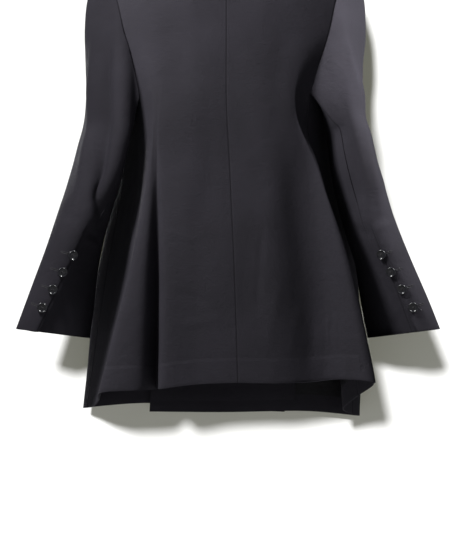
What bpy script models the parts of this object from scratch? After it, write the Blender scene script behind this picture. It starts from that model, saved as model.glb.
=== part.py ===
"""A double-breasted jacket that hangs from a plain hanger.

Metres, +Z up. The jacket's front faces -Y and the wearer's left is +X. The origin is the
inner top of the hanger's hook, where a rod bears.
"""
import math
from collections import namedtuple

import bmesh
import bpy
import numpy as np
from mathutils import Matrix, Vector

# Cloth
WALL = 0.0016
FACING_WALL = 0.0010
SEAM_GAP = 0.0003
LAYER_GAP = 0.0005

# Heights of the sections below the armholes
UNDERARM_Z = -0.335
WAIST_Z = -0.450
LOW_Z = -0.600

# Neck, shoulders and armholes
NECK_HALF = 0.072
NECK_SIDE_Z = -0.080
BACK_NECK_Y = 0.052
BACK_NECK_Z = -0.092
SHOULDER_HALF = 0.193
SHOULDER_Z = -0.137
BREAK_Z = -0.365
# Share of the back's half width that the neckline takes, and how full the blades are
NECK_COLUMN_SHARE = 1 / 3
BLADE_FULLNESS = 2.4
# Where the roll lines start at the front, on the far side of the middle
BREAK_X = -0.092
# Each front lies this far out of, or inside, their middle layer at the chest
FRONT_LAYER = 0.0055

# Rows of the panels' grids
LOWER_ROWS = 12
UPPER_ROWS = 6

Line = namedtuple("Line", "name steps underarm waist low hem")
# Each line runs from the underarm's level to the hem: x, y at three sections, and x, y, z at
# the hem. Steps is the number of grid columns from the line before.
LEFT_BACK = (
    Line("centre seam", 0, (0.000, 0.079), (-0.005, 0.074), (-0.0115, 0.081), (-0.016, 0.086, -0.7500)),
    Line("middle", 4, (0.050, 0.081), (0.048, 0.077), (0.045, 0.085), (0.042, 0.089, -0.7525)),
    Line("valley lip", 3, (0.088, 0.077), (0.0935, 0.076), (0.0915, 0.085), (0.0925, 0.090, -0.7585)),
    Line("valley", 2, (0.096, 0.0755), (0.0985, 0.070), (0.0970, 0.057), (0.0990, 0.046, -0.7595)),
    Line("turn", 2, (0.103, 0.074), (0.1045, 0.071), (0.114, 0.076), (0.121, 0.079, -0.7608)),
    Line("outer fold", 2, (0.109, 0.070), (0.1115, 0.069), (0.1366, 0.075), (0.1746, 0.081, -0.7635)),
    Line("back seam", 2, (0.126, 0.052), (0.1195, 0.048), (0.1415, 0.050), (0.182, 0.045, -0.7750)),
)
LEFT_SIDE = (
    LEFT_BACK[-1]._replace(steps=0),
    Line("side", 2, (0.141, 0.005), (0.136, 0.000), (0.157, 0.000), (0.194, -0.005, -0.7850)),
    Line("front seam", 2, (0.147, -0.035), (0.156, -0.040), (0.182, -0.045), (0.2080, -0.050, -0.7890)),
)
LEFT_FRONT = (
    LEFT_SIDE[-1]._replace(steps=0),
    Line("front fold", 2, (0.143, -0.064), (0.1675, -0.069), (0.1980, -0.077), (0.216, -0.080, -0.7900)),
    Line("chest", 3, (0.100, -0.083), (0.110, -0.084), (0.125, -0.086), (0.117, -0.086, -0.7830)),
    Line("centre", 3, (0.010, -0.0945), (0.010, -0.092), (0.010, -0.089), (0.005, -0.087, -0.7920)),
    Line("edge", 3, (-0.074, -0.0905), (-0.092, -0.089), (-0.090, -0.087), (-0.088, -0.086, -0.7964)),
)
RIGHT_BACK = (
    LEFT_BACK[0],
    Line("middle", 4, (-0.045, 0.080), (-0.055, 0.076), (-0.064, 0.077), (-0.070, 0.081, -0.7510)),
    Line("shallow", 3, (-0.076, 0.077), (-0.090, 0.071), (-0.108, 0.065), (-0.118, 0.067, -0.7495)),
    Line("soft fold", 3, (-0.094, 0.073), (-0.116, 0.068), (-0.140, 0.063), (-0.162, 0.066, -0.7455)),
    Line("corner", 3, (-0.104, 0.066), (-0.134, 0.066), (-0.1755, 0.070), (-0.2075, 0.072, -0.7520)),
    Line("back seam", 2, (-0.121, 0.048), (-0.131, 0.045), (-0.166, 0.040), (-0.190, 0.035, -0.7680)),
)
RIGHT_SIDE = (
    RIGHT_BACK[-1]._replace(steps=0),
    Line("side fold", 2, (-0.138, 0.003), (-0.141, 0.000), (-0.158, -0.005), (-0.172, -0.008, -0.7880)),
    Line("front seam", 2, (-0.145, -0.035), (-0.160, -0.040), (-0.186, -0.045), (-0.188, -0.050, -0.7980)),
)
RIGHT_FRONT = (
    RIGHT_SIDE[-1]._replace(steps=0),
    Line("front fold", 2, (-0.142, -0.062), (-0.171, -0.068), (-0.2000, -0.076), (-0.2005, -0.079, -0.8020)),
    Line("chest", 3, (-0.095, -0.076), (-0.105, -0.078), (-0.115, -0.080), (-0.120, -0.080, -0.7950)),
    Line("centre", 3, (-0.008, -0.0795), (-0.008, -0.079), (-0.005, -0.078), (0.000, -0.077, -0.7965)),
    Line("edge", 3, (0.074, -0.0775), (0.092, -0.078), (0.105, -0.077), (0.117, -0.077, -0.7958)),
)

# Rows of the yoke: where the armhole's edge and the middle line lie at two heights
YokeRow = namedtuple("YokeRow", "name edge_x back_edge_y back_y front_edge_y front_y edge_z middle_z")
YOKE = (
    YokeRow("blade", 0.147, 0.056, 0.076, -0.061, -0.084, -0.250, -0.255),
    YokeRow("shoulder blade top", 0.163, 0.043, 0.064, -0.046, -0.068, -0.185, -0.175),
)

# Sleeves, from the armhole to the cuff. The long axis turns from front-to-back at the top to
# nearly across at the cuff.
SleeveRow = namedtuple("SleeveRow", "z centre_x centre_y half_long half_thick turn tilt")
LEFT_SLEEVE = (
    SleeveRow(-0.384, 0.1775, 0.004, 0.078, 0.028, 112, 0.50),
    SleeveRow(-0.450, 0.1925, 0.008, 0.074, 0.034, 107, 0.35),
    SleeveRow(-0.505, 0.2080, 0.012, 0.069, 0.036, 94, 0.25),
    SleeveRow(-0.580, 0.2270, 0.015, 0.064, 0.033, 71, 0.18),
    SleeveRow(-0.630, 0.2385, 0.017, 0.062, 0.032, 57, 0.15),
    SleeveRow(-0.680, 0.2505, 0.018, 0.061, 0.028, 42, 0.12),
)
RIGHT_SLEEVE = (
    SleeveRow(-0.384, 0.1715, 0.015, 0.062, 0.0210, 82, 0.50),
    SleeveRow(-0.450, 0.1860, 0.017, 0.064, 0.0265, 80, 0.35),
    SleeveRow(-0.505, 0.2025, 0.016, 0.065, 0.0300, 78, 0.25),
    SleeveRow(-0.580, 0.2265, 0.015, 0.064, 0.033, 71, 0.18),
    SleeveRow(-0.630, 0.2410, 0.017, 0.062, 0.032, 57, 0.15),
    SleeveRow(-0.680, 0.2550, 0.018, 0.061, 0.028, 42, 0.12),
)
CAP_RINGS = 6
CAP_BULGE = 0.014
CAP_BULGE_SKEW = 0.7
# Above this height the sleeve's edge lies along the body's panels at the armhole
FOLD_END_Z = -0.28
FOLD_FADE = 0.05
SLEEVE_RINGS = 14
# Turns of the seams round each oval, in degrees
ELBOW_SEAM_TURN = 48
FRONT_SEAM_TURN = 150
VENT_TOP_Z = -0.534
VENT_DEPTH = 0.0025
VENT_FADE = 0.03

# Buttons
CUFF_BUTTON = 0.0145
CUFF_BUTTON_HEIGHTS = (-0.5705, -0.5950, -0.6195, -0.6450)
CUFF_BUTTON_INSET = 0.012
CUFF_BUTTON_LIFT = 0.0006
FRONT_BUTTON = 0.022
FRONT_BUTTON_HEIGHTS = (-0.395, -0.490, -0.585)
FRONT_BUTTON_COLUMNS = (-0.066, 0.088)
FRONT_BUTTON_LIFT = 0.0002
BUTTON_SIDES = 18
BUTTON_HOLE_SIDES = 5
# A hole's radius and its distance from the middle, as shares of the button's radius
BUTTON_HOLE = 0.11
BUTTON_HOLE_REACH = 0.25
# Rings of a button: share of its radius, and height as a share of its diameter
BUTTON_PROFILE = ((0.80, 0.0), (1.0, 0.10), (1.0, 0.17), (0.90, 0.24), (0.74, 0.20), (0.62, 0.12))

# Collar and lapels
STAND_HEIGHT = 0.030
STAND_END = 0.007
COLLAR_WIDTH = 0.074
COLLAR_ROLL = 0.006
COLLAR_LIFT = 0.0035
# How far the stand has turned into the flat collar at the neck points: 1 is all the way
COLLAR_TURN_AT_NECK = 0.45
COLLAR_FRONT_STEPS = 4
# Rows of the front's grid, counted from the hem, between which the collar and lapel sit
COLLAR_END_ROW = 17.0
LAPEL_TOP_ROW = 16.93
LAPEL_BREAK_ROW = 11.0
LAPEL_TIP = (0.120, -0.150)
# The lapel starts this share of its length above the break, where it has this share of its width
LAPEL_START = 0.03
LAPEL_START_WIDTH = 0.05
LAPEL_BELLY = 0.010
BELLY_WAY = np.array([0.75, -0.66])
LAPEL_ROLL = 0.0016
LAPEL_LIFT = 0.0018
LAPEL_LIFT_END = 0.4
LAPEL_GRID = (13, 7)

# The facing that shows inside the right front
# Its span in columns and rows of the front's grid, and its own grid
FACING_COLUMNS = (5.4, 11.0)
FACING_ROWS = (0.35, 11.0)
FACING_GRID = (11, 7)

# Hanger and hook
HANGER_HALF = 0.183
HANGER_HALF_THICK = 0.006
HANGER_DEPTH = 0.026
HANGER_TIP_DEPTH = 0.017
HANGER_STATIONS = 29
HANGER_CROWN_Z = -0.072
# The hanger's ridge lies this far under the shoulder seams
HANGER_RELIEF = 0.0022
# Its section, down from the ridge: share of its half thickness, and drop
HANGER_RIDGE = ((0.4, 0.0052), (1.0, 0.0125))
HANGER_EDGE = 0.002
HOOK_WIRE = 0.0036
HOOK_INNER_RADIUS = 0.019
HOOK_SIDES = 10
# The hook's foot: x, height over the crown, and share of the wire's radius
HOOK_FOOT = (
    (0.0, 0.0000, 2.2),
    (0.0, 0.0020, 2.2),
    (0.0, 0.0022, 1.0),
    (0.0, 0.0150, 1.0),
    (0.002, 0.0240, 1.0),
)
HOOK_BEND = (-62, 205)
HOOK_BEND_STEPS = 25

Finish = namedtuple("Finish", "colour roughness metallic")
SUITING = Finish((0.012, 0.012, 0.014), 0.8, 0.0)
BUTTON = Finish((0.010, 0.010, 0.012), 0.2, 0.0)
WOOD = Finish((0.35, 0.24, 0.15), 0.5, 0.0)
STEEL = Finish((0.75, 0.75, 0.77), 0.25, 1.0)


def clear_scene():
    for old in list(bpy.data.objects):
        bpy.data.objects.remove(old, do_unlink=True)


def material(name, finish):
    made = bpy.data.materials.new(name)
    made.use_nodes = True
    shader = made.node_tree.nodes["Principled BSDF"]
    shader.inputs["Base Color"].default_value = (*finish.colour, 1.0)
    shader.inputs["Roughness"].default_value = finish.roughness
    shader.inputs["Metallic"].default_value = finish.metallic
    return made


def spline(knots, values, at):
    """A smooth curve through values, one for each knot, read at the places in at."""
    knots = np.asarray(knots, float)
    values = np.asarray(values, float)
    slopes = np.empty_like(values)
    spans = np.diff(knots)
    chords = np.diff(values, axis=0) / spans.reshape((-1,) + (1,) * (values.ndim - 1))
    slopes[0], slopes[-1] = chords[0], chords[-1]
    for i in range(1, len(knots) - 1):
        share = spans[i - 1] / (spans[i - 1] + spans[i])
        slopes[i] = (1 - share) * chords[i - 1] + share * chords[i]
    out = []
    for place in at:
        i = min(max(int(np.searchsorted(knots, place)) - 1, 0), len(knots) - 2)
        step = spans[i]
        t = (place - knots[i]) / step
        out.append((2 * t**3 - 3 * t**2 + 1) * values[i] + (t**3 - 2 * t**2 + t) * step * slopes[i]
                   + (3 * t**2 - 2 * t**3) * values[i + 1] + (t**3 - t**2) * step * slopes[i + 1])
    return np.array(out)


def unit(vectors):
    return vectors / np.linalg.norm(vectors, axis=-1, keepdims=True)


def grid_normals(points, outside):
    """Normals of a grid of points, turned to the side where the direction outside points."""
    along = np.gradient(points, axis=1)
    up = np.gradient(points, axis=0)
    normals = unit(np.cross(along, up))
    if np.mean(np.sum(normals * outside, axis=-1)) < 0:
        normals = -normals
    return normals


class Sheet:
    """A grid of points on the cloth's outer face, with its normals."""

    def __init__(self, points, outside=None, normals=None):
        self.points = np.array(points)
        self.normals = grid_normals(self.points, outside) if normals is None else np.array(normals)

    def pull_back(self, line, distance):
        """Moves an edge of the grid towards its neighbour: left, right, bottom or top."""
        edge, inner = {
            "left": ((slice(None), 0), (slice(None), 1)),
            "right": ((slice(None), -1), (slice(None), -2)),
            "bottom": ((0, slice(None)), (1, slice(None))),
            "top": ((-1, slice(None)), (-2, slice(None))),
        }[line]
        self.points[edge] += distance * unit(self.points[inner] - self.points[edge])

    def at(self, row, column):
        """The point and normal at a fractional row and column."""
        i, j = int(min(row, len(self.points) - 1.001)), int(min(column, self.points.shape[1] - 1.001))
        s, t = row - i, column - j
        corners = (((1 - s) * (1 - t), i, j), ((1 - s) * t, i, j + 1),
                   (s * (1 - t), i + 1, j), (s * t, i + 1, j + 1))
        point = sum(share * self.points[a, b] for share, a, b in corners)
        normal = sum(share * self.normals[a, b] for share, a, b in corners)
        return point, unit(normal)

    def seat(self, x, z):
        """The point and normal where a line along Y through x, z meets the sheet."""
        flat = self.points[:, :, (0, 2)]
        target = np.array([x, z])
        best = None
        for i in range(flat.shape[0] - 1):
            for j in range(flat.shape[1] - 1):
                corner = flat[i, j]
                frame = np.column_stack((flat[i + 1, j] - corner, flat[i, j + 1] - corner))
                if abs(np.linalg.det(frame)) < 1e-9:
                    continue
                s, t = np.linalg.solve(frame, target - corner)
                outside = max(0, -s, s - 1) + max(0, -t, t - 1)
                if best is None or outside < best[0]:
                    best = (outside, i + min(max(s, 0), 1), j + min(max(t, 0), 1))
        return self.at(best[1], best[2])


def join_normals(first, first_index, second, second_index):
    """Gives two sheets the same normals where they meet."""
    shared = unit(first.normals[first_index] + second.normals[second_index])
    first.normals[first_index] = shared
    second.normals[second_index] = shared


def finish_object(name, body, finish, smooth_angle, frame=None):
    """Closes off a bmesh as a named object with its faces turned out."""
    bmesh.ops.recalc_face_normals(body, faces=body.faces)
    bmesh.ops.triangulate(body, faces=body.faces)
    mesh = bpy.data.meshes.new(name)
    body.to_mesh(mesh)
    body.free()
    mesh.shade_smooth()
    mesh.set_sharp_from_angle(angle=math.radians(smooth_angle))
    made = bpy.data.objects.new(name, mesh)
    if frame is not None:
        made.matrix_world = frame
    bpy.context.collection.objects.link(made)
    made.data.materials.append(material(name, finish))
    return made


def add_object(name, verts, faces, finish, smooth_angle=40):
    body = bmesh.new()
    made = [body.verts.new(v) for v in verts]
    for face in faces:
        body.faces.new([made[i] for i in face])
    return finish_object(name, body, finish, smooth_angle)


def cloth_object(name, sheet, wall=WALL):
    """A closed wall: the sheet's outer face, its inner face and a rim."""
    rows, columns = sheet.points.shape[:2]
    outer = sheet.points.reshape(-1, 3)
    inner = (sheet.points - wall * sheet.normals).reshape(-1, 3)
    count = rows * columns

    def face_grid(start):
        return [(start + r * columns + c, start + r * columns + c + 1,
                 start + (r + 1) * columns + c + 1, start + (r + 1) * columns + c)
                for r in range(rows - 1) for c in range(columns - 1)]

    rim = [c for c in range(columns)]
    rim += [r * columns + columns - 1 for r in range(1, rows)]
    rim += [(rows - 1) * columns + c for c in range(columns - 2, -1, -1)]
    rim += [r * columns for r in range(rows - 2, 0, -1)]
    faces = face_grid(0) + [tuple(reversed(f)) for f in face_grid(count)]
    faces += [(a, a + count, b + count, b) for a, b in zip(rim, rim[1:] + rim[:1])]
    return add_object(name, np.vstack((outer, inner)), faces, SUITING)


def line_rows(lines):
    """The lines' points on the hem and the sections over it, up to the underarm's level."""
    hem = np.array([line.hem for line in lines])
    low = np.array([(*line.low, LOW_Z) for line in lines])
    waist = np.array([(*line.waist, WAIST_Z) for line in lines])
    underarm = np.array([(*line.underarm, UNDERARM_Z) for line in lines])
    return [hem, low, waist, underarm]


def columns_of(lines):
    """Where each line lies, counted in grid columns, and all the grid's columns."""
    knots = np.cumsum([line.steps for line in lines])
    return knots, np.arange(knots[-1] + 1)


def panel_points(lines, top_rows=()):
    """The grid of a panel: smooth across its lines, then smooth from the hem upwards."""
    knots, columns = columns_of(lines)
    rows = [spline(knots, row, columns) for row in line_rows(lines)]
    row_knots = np.linspace(0, LOWER_ROWS, len(rows))
    if len(top_rows):
        above = np.linspace(LOWER_ROWS, LOWER_ROWS + UPPER_ROWS, len(top_rows) + 1)[1:]
        row_knots = np.concatenate((row_knots, above))
        rows += list(top_rows)
    return spline(row_knots, rows, np.arange(row_knots[-1] + 1))


def back_top_rows(side, columns):
    """The back's rows above the underarm, from the centre seam to the armhole."""
    share = np.linspace(0, 1, columns)
    rows = []
    for row in YOKE:
        x = side * row.edge_x * share
        y = row.back_y + (row.back_edge_y - row.back_y) * share**BLADE_FULLNESS
        z = row.middle_z + (row.edge_z - row.middle_z) * share
        rows.append(np.column_stack((x, y, z)))
    top = []
    for s in share:
        if s < NECK_COLUMN_SHARE:
            turn = math.radians(90 * s / NECK_COLUMN_SHARE)
            top.append((side * NECK_HALF * math.sin(turn), BACK_NECK_Y * math.cos(turn),
                        NECK_SIDE_Z + (BACK_NECK_Z - NECK_SIDE_Z) * math.cos(turn)))
        else:
            along = (s - NECK_COLUMN_SHARE) / (1 - NECK_COLUMN_SHARE)
            top.append((side * (NECK_HALF + (SHOULDER_HALF - NECK_HALF) * along), 0.0,
                        NECK_SIDE_Z + (SHOULDER_Z - NECK_SIDE_Z) * along))
    rows.append(np.array(top))
    return rows


def front_top_rows(side, columns, layer):
    """The front's rows above the underarm, from the armhole to the roll line."""
    share = np.linspace(0, 1, columns)
    rows = []
    for row in YOKE:
        along_roll = (row.middle_z - BREAK_Z) / (NECK_SIDE_Z - BREAK_Z)
        edge_x = BREAK_X + (NECK_HALF - BREAK_X) * along_roll
        x = side * (row.edge_x + (edge_x - row.edge_x) * share)
        y = row.front_edge_y + (row.front_y + layer - row.front_edge_y) * np.sin(share * math.pi / 2)
        z = row.edge_z + (row.middle_z - row.edge_z) * share
        rows.append(np.column_stack((x, y, z)))
    x = side * (SHOULDER_HALF + (NECK_HALF - SHOULDER_HALF) * share)
    z = SHOULDER_Z + (NECK_SIDE_Z - SHOULDER_Z) * share
    rows.append(np.column_stack((x, 0 * share, z)))
    return rows


def body_sheets(side):
    """The back, side and front of one half, with shared normals at their seams."""
    back_lines, side_lines, front_lines = ((LEFT_BACK, LEFT_SIDE, LEFT_FRONT) if side > 0
                                           else (RIGHT_BACK, RIGHT_SIDE, RIGHT_FRONT))
    layer = -FRONT_LAYER if side > 0 else FRONT_LAYER
    back_columns = columns_of(back_lines)[0][-1] + 1
    front_columns = columns_of(front_lines)[0][-1] + 1
    below = slice(0, LOWER_ROWS + 1)
    back = Sheet(panel_points(back_lines, back_top_rows(side, back_columns)), (0, 1, 0))
    front = Sheet(panel_points(front_lines, front_top_rows(side, front_columns, layer)), (0, -1, 0))
    flank_points = panel_points(side_lines)
    flank_points[:, 0] = back.points[below, -1]
    flank_points[:, -1] = front.points[below, 0]
    flank = Sheet(flank_points, (side, 0, 0))
    join_normals(back, (below, -1), flank, (below, 0))
    join_normals(flank, (below, -1), front, (below, 0))
    shoulder = slice(int(round(NECK_COLUMN_SHARE * (back_columns - 1))), back_columns)
    above = unit(np.array([side * (NECK_SIDE_Z - SHOULDER_Z), 0, SHOULDER_HALF - NECK_HALF]))
    back.normals[-1, shoulder] = above
    front.normals[-1] = above
    return back, flank, front


def armhole(back, flank, front):
    """The armhole's loop, down the back, under the arm and up the front, and its normals."""
    loops = []
    for kind in ("points", "normals"):
        down_back = getattr(back, kind)[LOWER_ROWS:, -1][::-1]
        under = getattr(flank, kind)[LOWER_ROWS, 1:]
        up_front = getattr(front, kind)[LOWER_ROWS + 1:-1, 0]
        loops.append(np.vstack((down_back, under, up_front)))
    return loops


def sleeve_section(row, angles, side):
    """One ring of a sleeve: an oval whose long axis turns as it goes down."""
    turn = math.radians(row.turn)
    long_axis = np.array([math.cos(turn), math.sin(turn)])
    thick_axis = np.array([-math.sin(turn), math.cos(turn)])
    flat = (np.outer(row.half_long * np.cos(angles), long_axis)
            + np.outer(row.half_thick * np.sin(angles), thick_axis))
    z = row.z + row.tilt * flat[:, 0]
    return np.column_stack((side * (row.centre_x + flat[:, 0]), row.centre_y + flat[:, 1], z))


def sleeve_angles(counts):
    """The angle of each column on the ovals, from the shoulder round the back."""
    back_count, under_count, front_count = counts
    elbow, front, shoulder = 360 + ELBOW_SEAM_TURN, 360 + FRONT_SEAM_TURN, 270
    down_back = np.linspace(shoulder, elbow, back_count)
    under = np.linspace(elbow, front, under_count + 1)[1:]
    up_front = np.linspace(front, shoulder + 360, front_count + 2)[1:-1]
    return np.radians(np.concatenate((down_back, under, up_front)))


def sleeve_points(start, angles, side):
    """The sleeve's rings, from the armhole to the cuff."""
    table = LEFT_SLEEVE if side > 0 else RIGHT_SLEEVE
    depths = [-row.z for row in table]
    rows = [SleeveRow(*values) for values in
            spline(depths, table, np.linspace(depths[0], depths[-1], SLEEVE_RINGS))]
    rings = [sleeve_section(row, angles, side) for row in rows]
    outer = np.clip(-np.sin(angles), 0, 1)
    cap = []
    for k in range(CAP_RINGS):
        s = k / CAP_RINGS
        ring = (1 - s) * start + s * rings[0]
        ring[:, 0] += side * CAP_BULGE * math.sin(math.pi * s**CAP_BULGE_SKEW) * outer
        cap.append(ring)
    return np.array(cap + rings)


def ring_normals(points):
    """Outward normals of a tube's grid of points, whose columns close into rings."""
    wrapped = np.concatenate((points[:, -1:], points, points[:, :1]), axis=1)
    along = wrapped[:, 2:] - wrapped[:, :-2]
    down = np.gradient(points, axis=0)
    normals = unit(np.cross(along, down))
    outward = points - points.mean(axis=1, keepdims=True)
    if np.sum(normals * outward) < 0:
        normals = -normals
    return normals


def sleeve_sheets(side, loop, counts):
    """The top sleeve and the under sleeve, which meet on the elbow and front seams."""
    angles = sleeve_angles(counts)
    ring, panel_normals = loop
    start = ring + SEAM_GAP * unit(np.array([side, 0, 0]) - side * panel_normals[:, :1] * panel_normals)
    start[:, 0] += side * SEAM_GAP / 2
    points = sleeve_points(start, angles, side)
    normals = ring_normals(points)
    flat = np.clip((ring[:, 2:] - FOLD_END_Z) / FOLD_FADE, 0, 1)
    normals[0] = unit(flat * panel_normals + (1 - flat) * normals[0])
    elbow = counts[0] - 1
    front = elbow + counts[1]

    def stretch(first, last):
        picked = [c % len(angles) for c in range(first, last + 1)]
        return Sheet(points[:, picked], normals=normals[:, picked])

    under = stretch(elbow, front)
    top = stretch(front, elbow + len(angles))
    for part in (under, top):
        part.pull_back("left", SEAM_GAP / 2)
        part.pull_back("right", SEAM_GAP / 2)
    open_vent(under)
    return top, under


def open_vent(under):
    """Sinks the under sleeve's edge below the top sleeve's, from the vent's top to the cuff."""
    for row in range(len(under.points)):
        drop = VENT_TOP_Z - under.points[row, 0, 2]
        depth = VENT_DEPTH * min(max(drop / VENT_FADE, 0), 1)
        for column, share in ((0, 1.0), (1, 0.5)):
            under.points[row, column] -= depth * share * under.normals[row, column]


def ring_of(body, radius, height, sides, centre=(0.0, 0.0)):
    return [body.verts.new((centre[0] + radius * math.cos(2 * math.pi * k / sides),
                            centre[1] + radius * math.sin(2 * math.pi * k / sides), height))
            for k in range(sides)]


def band(body, low, high):
    for k in range(len(low)):
        n = (k + 1) % len(low)
        body.faces.new((low[k], low[n], high[n], high[k]))


def closed_edges(body, ring):
    edges = []
    for k in range(len(ring)):
        pair = (ring[k], ring[(k + 1) % len(ring)])
        edges.append(body.edges.get(pair) or body.edges.new(pair))
    return edges


def button(name, centre, normal, across, diameter):
    """A dished round button with a raised rim and four holes; its flat back lies at centre."""
    radius = diameter / 2
    body = bmesh.new()
    rings = [ring_of(body, share * radius, height * diameter, BUTTON_SIDES)
             for share, height in BUTTON_PROFILE]
    for low, high in zip(rings, rings[1:]):
        band(body, low, high)
    spots = [(BUTTON_HOLE_REACH * radius * math.cos(turn), BUTTON_HOLE_REACH * radius * math.sin(turn))
             for turn in (math.radians(45 + 90 * quarter) for quarter in range(4))]
    ends = []
    for ring, height in ((rings[0], BUTTON_PROFILE[0][1]), (rings[-1], BUTTON_PROFILE[-1][1])):
        holes = [ring_of(body, BUTTON_HOLE * radius, height * diameter, BUTTON_HOLE_SIDES, spot)
                 for spot in spots]
        edges = closed_edges(body, ring)
        for hole in holes:
            edges += closed_edges(body, hole)
        bmesh.ops.triangle_fill(body, edges=edges, use_beauty=True, normal=(0, 0, 1))
        ends.append(holes)
    for low, high in zip(*ends):
        band(body, low, high)
    up = Vector(normal).normalized()
    side = (Vector(across) - Vector(across).dot(up) * up).normalized()
    frame = Matrix((side, up.cross(side), up)).transposed().to_4x4()
    frame.translation = Vector(centre)
    return finish_object(name, body, BUTTON, 35, frame)


def cuff_buttons(word, top):
    """Four buttons beside the vent, each seated on the top sleeve."""
    edge = top.points[:, -1]
    last = top.points.shape[1] - 1.0
    for number, height in enumerate(CUFF_BUTTON_HEIGHTS, 1):
        row = float(np.interp(-height, -edge[:, 2], np.arange(len(edge))))
        width = np.linalg.norm(top.at(row, last - 1)[0] - top.at(row, last)[0])
        column = last - CUFF_BUTTON_INSET / width
        point, normal = top.at(row, column)
        down = top.at(row + 1, column)[0] - point
        seat = point + (SEAM_GAP + CUFF_BUTTON_LIFT) * normal
        button(f"cuff_button_{word}_{number}", seat, normal, down, CUFF_BUTTON)


def front_buttons(front):
    """Two columns on the front that lies over; each button is seated on it."""
    for column, x in zip(("edge", "side"), FRONT_BUTTON_COLUMNS):
        for number, height in enumerate(FRONT_BUTTON_HEIGHTS, 1):
            point, normal = front.seat(x, height)
            seat = point + (SEAM_GAP + FRONT_BUTTON_LIFT) * normal
            button(f"front_button_{column}_{number}", seat, normal, (0, 0, 1), FRONT_BUTTON)


def lapel_sheet(side, front):
    """A lapel turned back on its front: from the roll line to its outer edge."""
    rows, columns = LAPEL_GRID
    last = front.points.shape[1] - 1.0
    tip = np.array(LAPEL_TIP)
    low = front.at(LAPEL_BREAK_ROW, last)[0]
    low = np.array([side * low[0], low[2]])
    points = np.empty((rows, columns, 3))
    normals = np.empty((rows, columns, 3))
    for r in range(rows):
        v = LAPEL_START + (1 - LAPEL_START) * r / (rows - 1)
        edge, _ = front.at(LAPEL_BREAK_ROW + v * (LAPEL_TOP_ROW - LAPEL_BREAK_ROW), last)
        roll = np.array([side * edge[0], edge[2]])
        outer = low + (tip - low) * (LAPEL_START_WIDTH + (1 - LAPEL_START_WIDTH) * v)
        outer = outer + LAPEL_BELLY * math.sin(math.pi * v) * BELLY_WAY
        for c in range(columns):
            u = c / (columns - 1)
            x, z = roll + (outer - roll) * u
            point, normal = front.seat(side * x, z)
            lift = LAYER_GAP + LAPEL_LIFT * min(v / LAPEL_LIFT_END, 1) + LAPEL_ROLL * v * (1 - u) ** 2
            points[r, c] = point + (lift + WALL) * normal
            normals[r, c] = normal
    return Sheet(points, normals=normals)


def collar_stations(back_left, back_right, front_left, front_right):
    """The neckline from the right front's gorge round the back to the left front's gorge."""
    neck = int(round(NECK_COLUMN_SHARE * (back_left.points.shape[1] - 1)))
    halves = []
    for back, front in ((back_left, front_left), (back_right, front_right)):
        half = []
        for c in range(neck + 1):
            share = (c / neck) ** 2
            down = unit(back.points[-3, c] - back.points[-1, c])
            along = unit(back.points[-1, neck + 2] - back.points[-1, neck])
            way = unit((1 - share) * down + share * along)
            away = unit((1 - share) * back.normals[-3, c] + share * back.normals[-1, neck])
            half.append((back.points[-1, c], way, away, COLLAR_TURN_AT_NECK * share))
        last = front.points.shape[1] - 1.0
        top = len(front.points) - 1.0
        for step in range(1, COLLAR_FRONT_STEPS + 1):
            share = step / COLLAR_FRONT_STEPS
            row = top + (COLLAR_END_ROW - top) * share
            point, normal = front.at(row, last)
            way = unit(front.at(row, last - 3)[0] - point)
            half.append((point, way, normal, COLLAR_TURN_AT_NECK + (1 - COLLAR_TURN_AT_NECK) * share))
        halves.append(half)
    return halves[1][:0:-1] + halves[0]


def collar_sheet(stations):
    """The collar: a stand that rises from the neckline, rolls over and falls outside."""
    columns = []
    for base, way, away, end_share in stations:
        stand = STAND_HEIGHT + (STAND_END - STAND_HEIGHT) * end_share
        rise = unit((1 - end_share) * np.array([0.0, 0.0, 1.0]) + end_share * away)
        side = unit((1 - end_share) * away + end_share * way)
        foot = base + LAYER_GAP * rise
        top = foot + stand * rise
        crest = top + 0.6 * COLLAR_ROLL * rise + 0.5 * COLLAR_ROLL * side
        over = top + COLLAR_ROLL * side
        end = base + (COLLAR_WIDTH - stand) * way + (COLLAR_LIFT + WALL) * away
        column = [foot, foot + 0.55 * stand * rise, top, crest, over]
        column += [over + (end - over) * share + COLLAR_LIFT * math.sin(math.pi * share) * away
                   for share in (0.33, 0.67, 1.0)]
        columns.append(column)
    return Sheet(np.array(columns).transpose(1, 0, 2), (0, 0, 1))


def facing_sheet(front):
    """The facing on the inside of a front, from its edge inwards."""
    rows = np.linspace(*FACING_ROWS, FACING_GRID[0])
    columns = np.linspace(*FACING_COLUMNS, FACING_GRID[1])
    points = np.empty((len(rows), len(columns), 3))
    normals = np.empty_like(points)
    for i, row in enumerate(rows):
        for j, column in enumerate(columns):
            point, normal = front.at(row, column)
            points[i, j] = point - (WALL + LAYER_GAP) * normal
            normals[i, j] = normal
    return Sheet(points, normals=normals)


def tube_faces(rings, sides):
    faces = []
    for r in range(rings - 1):
        for k in range(sides):
            n = (k + 1) % sides
            faces.append((r * sides + k, r * sides + n, (r + 1) * sides + n, (r + 1) * sides + k))
    faces.append(tuple(range(sides)))
    faces.append(tuple((rings - 1) * sides + k for k in range(sides)))
    return faces


def seam_height(x):
    """The shoulder seam's height over the hanger, carried on to the hanger's crown."""
    if abs(x) > NECK_HALF:
        share = (abs(x) - NECK_HALF) / (SHOULDER_HALF - NECK_HALF)
        return NECK_SIDE_Z + (SHOULDER_Z - NECK_SIDE_Z) * share - HANGER_RELIEF
    share = math.cos(math.pi / 2 * x / NECK_HALF) ** 2
    return (NECK_SIDE_Z - HANGER_RELIEF) * (1 - share) + HANGER_CROWN_Z * share


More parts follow.
